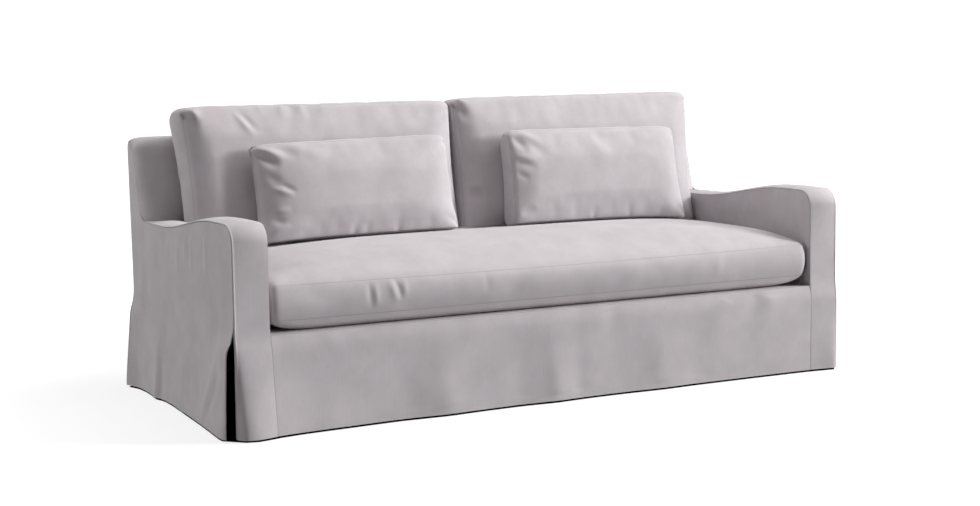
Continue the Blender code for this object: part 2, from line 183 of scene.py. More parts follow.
def brushed_twill(name, hex_code, run):
    """Brushed cotton twill whose warp runs along one axis: 0 for X, 1 for Y, 2 for Z."""
    made, tree, shader = new_material(name)
    place = node(tree, "TexCoord").outputs["Object"]
    squeeze = [1.0, 1.0, 1.0]
    squeeze[run] = 0.10
    warp = node(tree, "Mapping", {"Vector": place, "Scale": squeeze}).outputs["Vector"]
    clouds = node(tree, "TexNoise", {"Vector": place, "Scale": 1 / PATCH, "Detail": 4.0, "Roughness": 0.6})
    slubs = node(tree, "TexNoise", {"Vector": warp, "Scale": 1 / SLUB, "Detail": 2.0, "Roughness": 0.6})
    grains = node(tree, "TexNoise", {"Vector": place, "Scale": 1 / GRAIN, "Detail": 1.0})
    shift = node(tree, "Math", {0: slubs.outputs["Fac"], 1: 0.25}, operation="MULTIPLY")
    sockets = {0: clouds.outputs["Fac"], 1: 0.75, 2: shift.outputs["Value"]}
    share = node(tree, "Math", sockets, operation="MULTIPLY_ADD")
    dyed = node(tree, "ValToRGB", {"Fac": share.outputs["Value"]})
    base = linear(hex_code)
    dyed.color_ramp.elements[0].position = 0.30
    dyed.color_ramp.elements[0].color = [c * 0.90 for c in base[:3]] + [1.0]
    dyed.color_ramp.elements[1].position = 0.70
    dyed.color_ramp.elements[1].color = [min(1.0, c * 1.07) for c in base[:3]] + [1.0]
    gap = node(tree, "Attribute", attribute_name="seam").outputs["Fac"]
    near = node(tree, "Math", {0: gap}, operation="ABSOLUTE")
    sockets = {"Value": near.outputs["Value"], "From Min": 0.0, "From Max": STITCH, "To Min": 1.0, "To Max": 0.0}
    groove = node(tree, "MapRange", sockets, interpolation_type="SMOOTHSTEP").outputs["Result"]
    # Painted shade: the cloth in a seam's groove is drawn darker, standing in for the shade that falls in it.
    painted_groove_shade = [c * 0.80 for c in base[:3]] + [1.0]
    with_painted_groove_shade = node(tree, "Mix", {0: groove}, data_type="RGBA")
    tree.links.new(dyed.outputs["Color"], with_painted_groove_shade.inputs[6])
    with_painted_groove_shade.inputs[7].default_value = painted_groove_shade
    sockets = {0: slubs.outputs["Fac"], 1: 0.6, 2: grains.outputs["Fac"]}
    nap = node(tree, "Math", sockets, operation="MULTIPLY_ADD")
    sockets = {0: groove, 1: -2.0, 2: nap.outputs["Value"]}
    height = node(tree, "Math", sockets, operation="MULTIPLY_ADD")
    bump = node(tree, "Bump", {"Height": height.outputs["Value"], "Strength": 0.22, "Distance": 0.0012})
    tree.links.new(with_painted_groove_shade.outputs[2], shader.inputs["Base Color"])
    tree.links.new(bump.outputs["Normal"], shader.inputs["Normal"])
    dialled(shader, {"Roughness": 0.92, "IOR": 1.50, "Specular IOR Level": 0.20})
    dialled(shader, {"Sheen Weight": 0.10, "Sheen Roughness": 0.55})
    return made


twill_up = brushed_twill("brushed_twill_upright", "#BEB8BB", run=2)
twill_flat = brushed_twill("brushed_twill_laid", "#BEB8BB", run=1)

# %% [markdown]
# ## The cover's outlines
#
# The cover follows the sofa it fits. Seen from the side, the arm rises from the front in a round shoulder, dips
# towards the back and meets the back's leaning face. These are the cut pattern's main lines, in metres.

# %% Sizes
HALF, INNER = 1.100, 0.990  # outer and inner faces of the arms
FRONT_Y = -0.500
ARM_TOP, ARM_DIP = 0.622, 0.568
CREST_Y, DIP_Y = -0.330, 0.150
SHOULDER = 0.058
BAND_CROWN, WELT = 0.009, 0.0022
DECK_TOP, BACK_TOP = 0.294, 0.844
CLOTH, SEAM, ROLL_SEAM, HEEL_SEAM = 0.002, 0.0004, 0.0015, 0.0009
UNDER = CLOTH + SEAM
BACK_FOOT_Y, BACK_HEAD_Y = 0.264, 0.411
REAR_FOOT_Y, REAR_HEAD_Y = 0.500, 0.514
FRONT_ROLL, REAR_ROLL = 0.048, 0.038
END_ROLL, REAR_SHARE = 0.042, 0.25
ROLL_ROWS, FRONT_ROWS, ARM_ROW = 5, 6, 2


# %% Outlines, seen from the side as (y, z)
def back_face_y(z):
    return between(BACK_FOOT_Y, BACK_HEAD_Y, (z - DECK_TOP) / (BACK_TOP - DECK_TOP))


def rear_face_y(z):
    return between(REAR_FOOT_Y, REAR_HEAD_Y, (z - DECK_TOP) / (BACK_TOP - DECK_TOP))


def arc(centre, radius, first, last, steps):
    """Points round a centre, in degrees from +Y towards +Z."""
    turns = np.radians(np.linspace(first, last, steps + 1))
    return [(centre[0] + radius * math.cos(t), centre[1] + radius * math.sin(t)) for t in turns]


def inward(points, distances):
    """An outline moved to its right-hand side as one walks along it."""
    points = [Vector(point) for point in points]
    distances = np.broadcast_to(distances, len(points))
    moved = []
    for i, here in enumerate(points):
        run_in = (here - points[max(0, i - 1)]).normalized()
        run_out = (points[min(len(points) - 1, i + 1)] - here).normalized()
        ahead = (run_in + run_out).normalized()
        reach = max(ahead.dot(run_in), ahead.dot(run_out), 0.5)
        moved.append(here + Vector((ahead.y, -ahead.x)) * float(distances[i]) / reach)
    return [tuple(point) for point in moved]


def arm_profile():
    points = arc((FRONT_Y + SHOULDER, ARM_TOP - SHOULDER), SHOULDER, 180, 90, 6)
    for share in np.linspace(0, 1, 10):
        points.append((between(CREST_Y, DIP_Y, share), between(ARM_TOP, ARM_DIP, float(smooth(share)))))
    return points + [(y, ARM_DIP) for y in (0.190, 0.215, 0.240, 0.265, 0.300)]


def back_profile():
    foot, head, heel = DECK_TOP - CLOTH, BACK_TOP - FRONT_ROLL, BACK_TOP - REAR_ROLL
    points = [(back_face_y(z), z) for z in (foot, 0.43, ARM_DIP + 2 * SEAM, 0.65, 0.73, head - 0.02)]
    points += arc((back_face_y(head) + FRONT_ROLL, head), FRONT_ROLL, 180, 90, ROLL_ROWS - 1)
    return points + arc((rear_face_y(heel) - REAR_ROLL, heel), REAR_ROLL, 90, 0, ROLL_ROWS - 1)


def end_insets(turned, gap=0.0):
    """How far in the back's ends lie: as far as turned in front, and less at the rear."""
    return [turned + gap] * (FRONT_ROWS + ROLL_ROWS) + [REAR_SHARE * turned + 2 * gap] * ROLL_ROWS


def rolled(x):
    past = min(1.0, max(0.0, (abs(x) - (HALF - END_ROLL)) / END_ROLL))
    return END_ROLL * (1 - math.sqrt(max(0.0, 1 - past * past)))


def mirrored(half_run):
    """Columns across the back: the right half, with its rounded end, and the same on the left."""
    half_run = half_run + [HALF - END_ROLL + END_ROLL * math.sin(math.radians(turn)) for turn in (0, 30, 60, 90)]
    return [-x for x in half_run[:0:-1]] + half_run


# %% [markdown]
# ## How the skirt hangs
#
# Below the platform the cloth is free. It steps off the sofa by the seam's thickness and then flares to a stitched
# hem, a little unevenly, with a deeper fold near the left side's rear and bulging lips at the open corners. The
# tables give how far the hem stands out along each side.

# %% Hems
HEM_DEPTH, POP, POP_DEPTH = 0.020, 0.008, 0.035
SKIRT_ROWS = [0.0, HEM_DEPTH, 0.090, 0.165, 0.225, 0.260, DECK_TOP]
VENT_FOLD, BAND_SPREAD = 0.016, 0.006
LIP_Y = {-1: -0.512, 1: -0.488}
SIDE_TAIL_Y = 0.510
SIDE_HEM = metres([
    (-512, 38), (-495, 45), (-458, 45), (-365, 37), (-242, 27), (-125, 20), (-2, 12), (95, 6), (176, 5),
    (212, 10), (240, 20), (268, 13), (319, 10), (376, 8), (438, 11), (480, 23), (505, 31),
])
RIGHT_SHARE = [(-0.512, 0.25), (-0.200, 0.45), (0.200, 0.90), (0.505, 1.00)]
FRONT_HEM = metres([
    (-1100, 24), (-1090, 48), (-1068, 58), (-1035, 56), (-990, 40), (-900, 27), (-740, 18), (-580, 9),
    (-410, 19), (-300, 10), (-150, 5), (-25, 14), (105, 4), (236, 3), (385, 9), (531, 2), (768, 1), (900, 2),
    (990, 4), (1035, 8), (1068, 13), (1090, 14), (1100, 8),
])
REAR_HEM = metres([
    (-1100, 36), (-1040, 40), (-940, 30), (-700, 21), (-450, 28), (-200, 19), (0, 26), (250, 18), (480, 27),
    (720, 20), (940, 30), (1040, 40), (1100, 36),
])


def drop(z):
    return min(1.0, max(0.0, (DECK_TOP - z) / (DECK_TOP - HEM_DEPTH)))


def stood_off(reach, z):
    return float(POP * smooth((DECK_TOP - z) / POP_DEPTH) + (reach - POP) * drop(z) ** 1.1)


def side_out(y, z, side):
    reach = along(SIDE_HEM, y) * (1.0 if side < 0 else along(RIGHT_SHARE, y))
    near_corner = max(smooth((-0.28 - y) / 0.16), smooth((y - 0.34) / 0.10))
    kick = 0.55 * reach * near_corner
    return float(kick * smooth((DECK_TOP - z) / POP_DEPTH) + (reach - kick) * drop(z) ** 1.15)


def front_out(x, z):
    return stood_off(along(FRONT_HEM, x), z)


# %% [markdown]
# ## Folds
#
# Cloth that is sewn a little fuller than the seam it joins gathers into small puckers, which fan out from the seam
# and fade. Each is drawn as a soft ridge or trough: where it starts and ends in the sheet's own two sizes,
# how wide it is there, and how high. The tables give these in millimetres, but the height in tenths of one. They
# are few, so they stay under control, where a cloth simulation of the whole cover would wander off its measured
# outline. A fold marked "end" fades towards its end only, and the others towards both.


# %% Folds
def fold(flat, u, v, end_u, end_v, wide, end_wide, height, fade="both"):
    """Height at each point of flat (two columns) of a soft ridge, or of a trough if height is negative."""
    start = np.array((u, v)) / 1000
    run = np.array((end_u, end_v)) / 1000 - start
    share = (flat - start) @ run / (run @ run)
    held = np.clip(share, 0, 1)
    gap = np.linalg.norm(flat - start - held[:, None] * run, axis=1)
    width = between(wide / 1000, end_wide / 1000, held)
    tall = (1 - held) * smooth(held / 0.12 + 0.5) if fade == "end" else np.sin(np.pi * held) ** 1.2
    return height / 10000 * tall * np.exp(-((gap / width) ** 2))


def folded(piece, columns, folds):
    """Moves a sheet's points along its normals by the sum of its folds, drawn in two of its axes."""
    points = points_of(piece)
    flat = points[:, columns]
    lift = sum((fold(flat, *one) for one in folds), np.zeros(len(points)))
    put_points(piece, points + normals_of(piece) * lift[:, None])


# %% [markdown]
# ## Sheets of cloth
#
# Each panel starts as a flat grid primitive with as many columns and rows as its outline needs. Cells outside the
# cut are deleted, the points are put on the sofa's outline, and a Subdivision Surface rounds what lies between.
# After its folds are drawn, Solidify gives the cloth its 2 mm, inwards.


# %% Sheet from a grid
def draped(name, columns, rows, place, outside, levels=3, left_out=None):
    """A grid whose points lie where place(column, row) says, subdivided. outside is a direction that it faces."""
    bpy.ops.object.select_all(action="DESELECT")
    bpy.ops.mesh.primitive_grid_add(x_subdivisions=columns, y_subdivisions=rows, size=2)
    sheet = bpy.context.object
    sheet.name = name
    at = np.rint((points_of(sheet)[:, :2] + 1) / 2 * (columns, rows)).astype(int)
    put_points(sheet, np.array([place(int(column), int(row)) for column, row in at], float))
    if left_out:
        bpy.context.tool_settings.mesh_select_mode = (False, False, True)
        for face in sheet.data.polygons:
            column, row = at[list(face.vertices)].min(axis=0)
            face.select = bool(left_out(column, row))
        bpy.ops.object.mode_set(mode="EDIT")
        bpy.ops.mesh.delete(type="FACE")
        bpy.ops.object.mode_set(mode="OBJECT")
    bpy.ops.object.mode_set(mode="EDIT")
    bpy.ops.mesh.select_all(action="SELECT")
    bpy.ops.mesh.remove_doubles(threshold=0.00002)
    bpy.ops.object.mode_set(mode="OBJECT")
    largest = max(sheet.data.polygons, key=lambda face: face.area)
    if largest.normal.dot(Vector(outside)) < 0:
        sheet.data.flip_normals()
    subdivided(sheet, levels, boundary_smooth="PRESERVE_CORNERS")
    return sheet


def keep_seam(piece, distance):
    """Stores each point's distance from a seam, which the cloth's material reads."""
    piece.data.attributes.new("seam", "FLOAT", "POINT").data.foreach_set("value", np.ascontiguousarray(distance))


def gap_to_edge(sheet, is_seam):
    """Each point's distance from the nearest point of the sheet's edge for which is_seam(x, y, z) holds."""
    points = points_of(sheet)
    used = np.zeros(len(sheet.data.edges), int)
    loops = np.empty(len(sheet.data.loops), int)
    sheet.data.loops.foreach_get("edge_index", loops)
    np.add.at(used, loops, 1)
    ends = np.empty(len(sheet.data.edges) * 2, int)
    sheet.data.edges.foreach_get("vertices", ends)
    rim = [i for i in np.unique(ends.reshape(-1, 2)[used == 1]) if is_seam(*points[i])]
    tree = KDTree(len(rim))
    for place, i in enumerate(rim):
        tree.insert(points[i], place)
    tree.balance()
    return np.array([tree.find(point)[2] for point in points])


def sewn(sheet, material, is_seam=lambda x, y, z: z > DECK_TOP + 0.02, groove=0.55):
    """Gives a sheet its seams, thickness, cloth and smooth shading. groove is the seams' width as a share."""
    keep_seam(sheet, gap_to_edge(sheet, is_seam) / groove)
    finished_by(sheet, "SOLIDIFY", thickness=CLOTH, offset=-1, use_quality_normals=True)
    sheet.data.materials.clear()
    sheet.data.materials.append(material)
    alone(sheet)
    bpy.ops.object.shade_smooth_by_angle(angle=math.radians(50))
    print(sheet.name, "faces", len(sheet.data.polygons))


def declared(sheet, stands_for):
    """The sheet rides on the cover and takes its place."""
    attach(sheet, "root")
    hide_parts(stands_for)


# %% [markdown]
# ## Outside of the arms
#
# One panel runs from the hem to the arm's seam and, behind the arm, on up the side of the back. Its front and rear
# edges are hemmed open below the platform, and there the cloth turns in on itself. Just below the arm's seam the
# left panel shows a row of fine upright puckers.


# %% Outside arm
SOFT_SEAM_Y = -0.15  # behind it the arm's top seam is pressed open and hardly shows


def outside_arm(name, side):
    crest = inward(arm_profile(), 0.0010)
    crest[0] = (FRONT_Y + UNDER, crest[0][1])
    insets = end_insets(END_ROLL, ROLL_SEAM)
    back = inward(back_profile(), insets)[ARM_ROW:]
    back[0] = (back[0][0], ARM_DIP - UNDER)
    heel = BACK_TOP - REAR_ROLL
    back[-1] = (rear_face_y(heel) - insets[-1], heel)
    tops = crest + back
    tail_y = rear_face_y(DECK_TOP) - insets[-1]
    last = len(tops) + 1  # with one more column at each end, where the cloth turns in
    skirt, upper = len(SKIRT_ROWS) - 1, 3

    def place(column, row):
        own = min(max(column - 1, 0), len(tops) - 1)
        share = (tops[own][0] - tops[0][0]) / (tops[-1][0] - tops[0][0])
        vent_y = between(tops[0][0], tail_y, share)
        if row > skirt:
            up = (row - skirt) / upper
            return side * HALF, between(vent_y, tops[own][0], up), between(DECK_TOP, tops[own][1], up)
        z = SKIRT_ROWS[row]
        y = between(vent_y, between(LIP_Y[side], SIDE_TAIL_Y, share), drop(z))
        x = HALF + side_out(y, z, side)
        if column in (0, last):
            x -= 0.35 * VENT_FOLD * drop(z) ** 0.6
            y += (0.8 if column == 0 else -0.8) * VENT_FOLD * drop(z) ** 0.6
        return side * x, y, z

    def left_out(column, row):
        return row >= skirt and column in (0, last - 1)

    return draped(name, last, skirt + upper, place, (side, 0, 0), left_out=left_out)


PUCKERS = [
    # start y and z, end y and z, two widths, height
    (-266, 580, -272, 450, 10, 15, 42), (-238, 570, -244, 470, 9, 14, -30),
    (-128, 562, -140, 440, 10, 15, 46), (-98, 556, -108, 470, 9, 13, -36), (-64, 552, -74, 480, 9, 13, 26),
    (4, 548, -2, 420, 10, 16, 42), (34, 546, 28, 460, 9, 13, -28), (100, 540, 96, 470, 12, 16, 18),
    # down the skirt: a long fold near the rear, one beside the open corner, and slacker ones between
    (228, 10, 205, 300, 16, 30, 50, "end"), (196, 10, 185, 240, 14, 22, -30, "end"),
    (-250, 6, -405, 225, 20, 30, 50), (-290, 6, -440, 180, 16, 22, -30),
    (-20, 20, -60, 250, 30, 50, 40, "end"), (-110, 20, -130, 230, 26, 40, -30, "end"),
    (400, 280, 360, 520, 30, 50, 30, "end"),
    # slack in the middle of the arm
    (150, 350, -100, 430, 40, 50, 25), (-100, 330, -350, 400, 40, 50, -25),
]
for side, word in ((-1, "left"), (1, "right")):
    arm_side = outside_arm("arm_side_" + word, side)
    folded(arm_side, [1, 2], PUCKERS)
    sewn(arm_side, twill_up, is_seam=lambda x, y, z: z > DECK_TOP + 0.02 and y < SOFT_SEAM_Y, groove=1.2)
    declared(arm_side, "outside_arm_" + word)


# %% [markdown]
# ## Arm bands
#
# One strip goes up the front of each arm from the hem, over the round shoulder and down the arm's top to the back.
# It is stretched over the arm's padding, so it is a little crowned in its middle. Its outer edge turns in along
# the open corner of the skirt.


# %% Arm band
def arm_band(name, side):
    across = [0.0, 0.04, 0.25, 0.5, 0.75, 0.90, 0.960, 0.982, 1.0, 1.0]
    rising = [(FRONT_Y, z) for z in (0.38, 0.48)]
    tops = rising + arm_profile() + [(back_face_y(ARM_DIP - CLOTH) - SEAM, ARM_DIP)]
    skirt, last = len(SKIRT_ROWS) - 1, len(across) - 1
    crowned = inward(tops, -BAND_CROWN)
    welt = [WELT if t == 0.982 else 0.0 for t in across]
    spread = BAND_SPREAD if side < 0 else 0.0

    def place(column, row):
        t = across[column]
        x = between(INNER, HALF, t)
        if row <= skirt:
            z = SKIRT_ROWS[row]
            y = FRONT_Y - front_out(side * x, z) - welt[column]
            x += spread * t * drop(z)
            if column == last:
                x -= 0.10 * VENT_FOLD * drop(z) ** 0.6
                y += 0.95 * VENT_FOLD * drop(z) ** 0.6
            return side * x, y, z
        i = row - skirt - 1
        swell = 4 * t * (1 - t) * smooth(i / 4) * smooth((len(tops) - 1 - i) / 3)
        swell = float(swell) + welt[column] / BAND_CROWN
        y = between(tops[i][0], crowned[i][0], swell) + (rolled(x) if i == len(tops) - 1 else 0.0)
        return side * x, y, between(tops[i][1], crowned[i][1], swell)

    def left_out(column, row):
        return row >= skirt and column == last - 1

    return draped(name, last, skirt + len(tops), place, (0, -1, 0), left_out=left_out)


for side, word in ((-1, "left"), (1, "right")):
    band = arm_band("arm_strip_" + word, side)
    sewn(band, twill_up, is_seam=lambda x, y, z: abs(x) < INNER + 0.001, groove=1.9)
    declared(band, "arm_band_" + word)


# %% [markdown]
# ## Inside of the arms
#
# A plain panel on the seat's side, from the platform up to the band. It is the least stretched of the panels, so a
# few soft slanting folds stay in it.


# %% Inside arm
def inside_arm(name, side):
    crest = inward(arm_profile(), UNDER)
    crest[0] = (FRONT_Y + UNDER, crest[0][1])
    reach = back_face_y(ARM_DIP - UNDER) - 2 * SEAM
    tops = crest + [(reach, ARM_DIP - UNDER)]
    foot = DECK_TOP - CLOTH
    foot_end = back_face_y(foot) - SEAM
    columns, rows = len(tops) - 1, 3

    def place(column, row):
        top_y, top_z = tops[column]
        share = between(column / columns, (top_y - tops[0][0]) / (reach - tops[0][0]), 0.6)
        foot_y = between(tops[0][0], foot_end, share)
        return side * INNER, between(foot_y, top_y, row / rows), between(foot, top_z, row / rows)

    return draped(name, columns, rows, place, (-side, 0, 0))


SLACK = [
    (60, 500, -120, 575, 18, 30, 22), (-100, 470, -300, 560, 20, 34, -22), (-260, 480, -420, 560, 20, 30, 20),
]
for side, word in ((-1, "left"), (1, "right")):
    panel = inside_arm("arm_inner_" + word, side)
    folded(panel, [1, 2], SLACK)
    sewn(panel, twill_up)
    declared(panel, "inside_arm_" + word)


# %% [markdown]
# ## The back
#
# The inside back goes up from the platform between the arms, widens above them and rolls over the top of the back.
# Its ends round off to meet the side panels. The outside back hangs from a seam below that roll down to the hem.


# %% Inside back
def inside_back(name):
    profile = back_profile()
    notch = INNER + CLOTH
    half_run = [0.0, 0.14, 0.30, 0.46, 0.62, 0.78, 0.90, notch, between(notch, HALF - END_ROLL, 0.5)]
    run = mirrored(half_run)
    outlines = {x: inward(profile, end_insets(rolled(x))) for x in run}

    def place(column, row):
        x = run[column]
        y, z = profile[row]
        if row == ARM_ROW:
            return x, y + rolled(x), z
        if row == len(profile) - 1:
            return x, y - REAR_SHARE * rolled(x), z
        return x, *outlines[x][row]

    def left_out(column, row):
        return row < ARM_ROW and abs(run[column] + run[column + 1]) / 2 > notch

    return draped(name, len(run) - 1, len(profile) - 1, place, (0, -1, 0), levels=2, left_out=left_out)


TOP_FOLDS = [
    (-985, 620, -900, 760, 20, 40, 30), (-1060, 600, -1020, 800, 14, 20, -20),
    (1050, 600, 1020, 780, 16, 24, -20),
]
back = inside_back("back_inner")
folded(back, [0, 2], TOP_FOLDS)
sewn(back, twill_up)
declared(back, "inside_back")


# %% Outside back
def outside_back(name):
    half_run = [0.0, 0.12, 0.25, 0.36, 0.48, 0.60, 0.72, 0.83, 0.94, 1.02]
    run = mirrored(half_run)
    heights = SKIRT_ROWS + [0.43, 0.56, 0.69, BACK_TOP - REAR_ROLL - HEEL_SEAM]

    def place(column, row):
        x, z = run[column], heights[row]
        spread = math.copysign(0.012 * drop(z) * (abs(x) / HALF) ** 8, x)
        out = stood_off(along(REAR_HEM, x), z)
        return x + spread, rear_face_y(max(z, DECK_TOP)) - REAR_SHARE * rolled(x) + out, z

    return draped(name, len(run) - 1, len(heights) - 1, place, (0, 1, 0), levels=2)


REAR_FOLDS = [
    (-700, 30, -690, 290, 30, 40, -40, "end"), (-450, 30, -460, 300, 30, 40, 40, "end"),
    (-200, 30, -190, 280, 30, 40, -40, "end"), (0, 30, 10, 290, 30, 40, 40, "end"),
    (250, 30, 240, 280, 30, 40, -40, "end"), (480, 30, 490, 290, 30, 40, 40, "end"),
    (720, 30, 700, 290, 30, 40, -30, "end"), (-980, 740, -600, 600, 30, 60, 30),
    (980, 740, 620, 560, 30, 60, 30),
]
rear = outside_back("back_outer")
folded(rear, [0, 2], REAR_FOLDS)
sewn(rear, twill_up)
declared(rear, "outside_back")


# %% [markdown]
# ## Front panel and platform
#
# The front panel hangs from the platform's front edge between the two bands. It is long and light, so it shows
# broad shallow waves that come to the hem as small breaks. The platform is plain, flat cloth under the bench.


# %% Front panel
def front_panel(name):
    seam = INNER - SEAM
    columns = 28
    heights = SKIRT_ROWS[:-1] + [DECK_TOP - 0.004, DECK_TOP]

    def place(column, row):
        x, z = between(-seam, seam, column / columns), heights[row]
        return x, FRONT_Y - front_out(x, z), z

    return draped(name, columns, len(heights) - 1, place, (0, -1, 0))


FRONT_FOLDS = [
    (-410, 20, -440, 270, 40, 50, 36, "end"), (-540, 20, -560, 230, 40, 50, -28, "end"),
    (-25, 20, -40, 260, 30, 40, 48, "end"), (60, 20, 50, 250, 28, 36, -40, "end"),
    (-150, 20, -130, 230, 45, 50, -24, "end"), (385, 20, 360, 260, 45, 60, 40, "end"),
    (520, 20, 540, 240, 50, 60, -30, "end"), (640, 275, 560, 110, 30, 50, 30, "end"),
    (760, 280, 700, 130, 24, 45, -35, "end"), (820, 275, 800, 110, 30, 45, 30, "end"),
    (-800, 275, -740, 160, 24, 40, 16, "end"), (180, 280, 210, 120, 30, 50, -25, "end"),
]
front = front_panel("skirt_front")
folded(front, [0, 2], FRONT_FOLDS)
sewn(front, twill_up, is_seam=lambda x, y, z: z > DECK_TOP - 0.001 or abs(x) > INNER - 0.002, groove=1.9)
declared(front, "front_panel")


# %% Platform
def platform(name):
    edge = INNER - SEAM
    front_edge, rear_edge = FRONT_Y + UNDER, back_face_y(DECK_TOP - CLOTH) - SEAM
    columns, rows = 20, 8

    def place(column, row):
        return between(-edge, edge, column / columns), between(front_edge, rear_edge, row / rows), DECK_TOP

    return draped(name, columns, rows, place, (0, 0, 1), levels=1)


top_of_base = platform("platform_cloth")
sewn(top_of_base, twill_flat, is_seam=lambda x, y, z: True)
declared(top_of_base, "deck")

# %% [markdown]
# ## Cushions
#
# Each cushion is a filled cover: a front and a rear panel joined by a boxing strip. It starts as a cube primitive,
# cut into cells and subdivided without smoothing, so that rows of points run along every seam. The points are then
# put on the cushion's form: panels that roll over towards their seams, corners drawn in, and boxing that bulges.
# Each point also keeps its distance from the nearest seam, with which the material draws the stitched line as a
# groove: a bump, with painted shade in it.

# %% Cells of a cushion
def cells_of(name, counts, levels):
    """A cube in equal cells along each axis, subdivided. Returns it, and its points' places from -1 to 1."""
    bpy.ops.object.select_all(action="DESELECT")
    bpy.ops.mesh.primitive_cube_add(size=2)
    made = bpy.context.object
    made.name = name
    bpy.ops.object.mode_set(mode="EDIT")
    for axis, count in enumerate(counts):
        direction = [float(axis == i) for i in range(3)]
        for station in np.linspace(-1, 1, count + 1)[1:-1]:
            bpy.ops.mesh.select_all(action="SELECT")
            bpy.ops.mesh.bisect(plane_co=[station * d for d in direction], plane_no=direction)
    bpy.ops.object.mode_set(mode="OBJECT")
    subdivided(made, levels, subdivision_type="SIMPLE")
    places = made.data.attributes.new("place", "FLOAT_VECTOR", "POINT")
    places.data.foreach_set("vector", points_of(made).ravel())
    return made, points_of(made).T


def places_of(cushion):
    """Each point's place from -1 to 1 along the three axes of the cube that it was cut from."""
    flat = np.empty(len(cushion.data.vertices) * 3)
    cushion.data.attributes["place"].data.foreach_get("vector", flat)
    return np.clip(flat.reshape(-1, 3).T, -1, 1)


def swell(*shares, power=2.4):
    made = 1.0
    for share in shares:
        made = made * (1 - np.abs(share) ** power)
    return made


def round_corners(u, v, half_u, half_v, radius):
    """Draws in the corners of a rectangle, and what lies near them, to a radius."""
    past_u = np.clip((np.abs(u) - half_u + radius) / radius, 0, 1)
    past_v = np.clip((np.abs(v) - half_v + radius) / radius, 0, 1)
    new_u = np.sign(u) * (half_u - radius + radius * past_u * np.sqrt(1 - past_v**2 / 2))
    new_v = np.sign(v) * (half_v - radius + radius * past_v * np.sqrt(1 - past_u**2 / 2))
    return np.where(past_u > 0, new_u, u), np.where(past_v > 0, new_v, v)


def quarter(gap, reach):
    """How far a panel has rolled away, as a share, at a gap from its seam: 1 at the seam and 0 past reach."""
    left = 1 - np.clip(gap / reach, 0, 1)
    return 1 - np.sqrt(np.maximum(0, 1 - left * left))


# %% Bench form
PRESSED = 0.0006
ON_PANEL = 0.9999  # a place from -1 to 1 past which a point lies on a panel and not on the boxing
SEAM_GAP = 0.8  # below 1 draws a cushion's seams wider than a sheet's
BENCH_LEFT, BENCH_RIGHT, BENCH_FRONT, BENCH_REAR = -0.978, 0.980, -0.497, 0.258
BENCH_SEAM_LOW, BENCH_SEAM_HIGH, BENCH_CROWN = 0.332, 0.439, 0.510
UNDER_ROLL, UNDER_END, TOP_ROLL = 0.075, 0.130, 0.030
BENCH_CORNER, TOP_DROP = 0.018, 0.008
BENCH_X, BENCH_Y = (BENCH_RIGHT - BENCH_LEFT) / 2, (BENCH_REAR - BENCH_FRONT) / 2


def bench_form(a, b, c):
    flat = DECK_TOP + PRESSED
    side_gap, front_gap, rear_gap = (1 - np.abs(a)) * BENCH_X, (1 + b) * BENCH_Y, (1 - b) * BENCH_Y
    gap = np.minimum(side_gap, np.minimum(front_gap, rear_gap))
    high = BENCH_SEAM_HIGH + 0.006 * np.abs(a) ** 3 + 0.012 * np.abs(a) ** 4 * smooth((b + 1) / 0.4)
    crown = (BENCH_CROWN - high) * swell(np.abs(a) ** 2.2) * (1 - (np.maximum(0, -b - 0.15) / 0.85) ** 3)
    crown = crown * (1 - 0.32 * smooth((b - 0.1) / 0.5))
    top = high + crown + TOP_DROP * (1 - quarter(gap, TOP_ROLL)) - TOP_DROP
    up_end, up_front = quarter(side_gap, UNDER_END), quarter(front_gap, UNDER_ROLL)
    up_rear = quarter(rear_gap, UNDER_ROLL)
    low = BENCH_SEAM_LOW - (BENCH_SEAM_LOW - flat) * (1 - up_end) * (1 - up_front) * (1 - up_rear)
    z = np.where(c >= 1, top, np.where(c <= -1, low, between(BENCH_SEAM_LOW, high - TOP_DROP, (c + 1) / 2)))
    bulge = 1 - c * c
    near_front, near_side = np.maximum(0, -b) ** 24, np.abs(a) ** 60
    x, y = round_corners(BENCH_X * a, BENCH_Y * b, BENCH_X, BENCH_Y, BENCH_CORNER)
    x = (BENCH_LEFT + BENCH_RIGHT) / 2 + x - np.sign(a) * near_side * 0.006 * (1 - bulge)
    y = (BENCH_FRONT + BENCH_REAR) / 2 + y + near_front * 0.010 * (1 - bulge)
    return np.stack([x, y, z], 1)


# %% Form of a leaning cushion
BACK_FORM = {"front_foot": (0.165, 0.472), "front_head": (0.250, 0.944)}
BACK_FORM |= {"rear_foot": (0.310, 0.472), "rear_head": (0.420, 0.892)}
LUMBAR_FORM = {"front_foot": (0.040, 0.480), "front_head": (0.118, 0.832)}
LUMBAR_FORM |= {"rear_foot": (0.150, 0.480), "rear_head": (0.205, 0.800)}


CORNER = 0.015  # radius of a loose cushion's corners


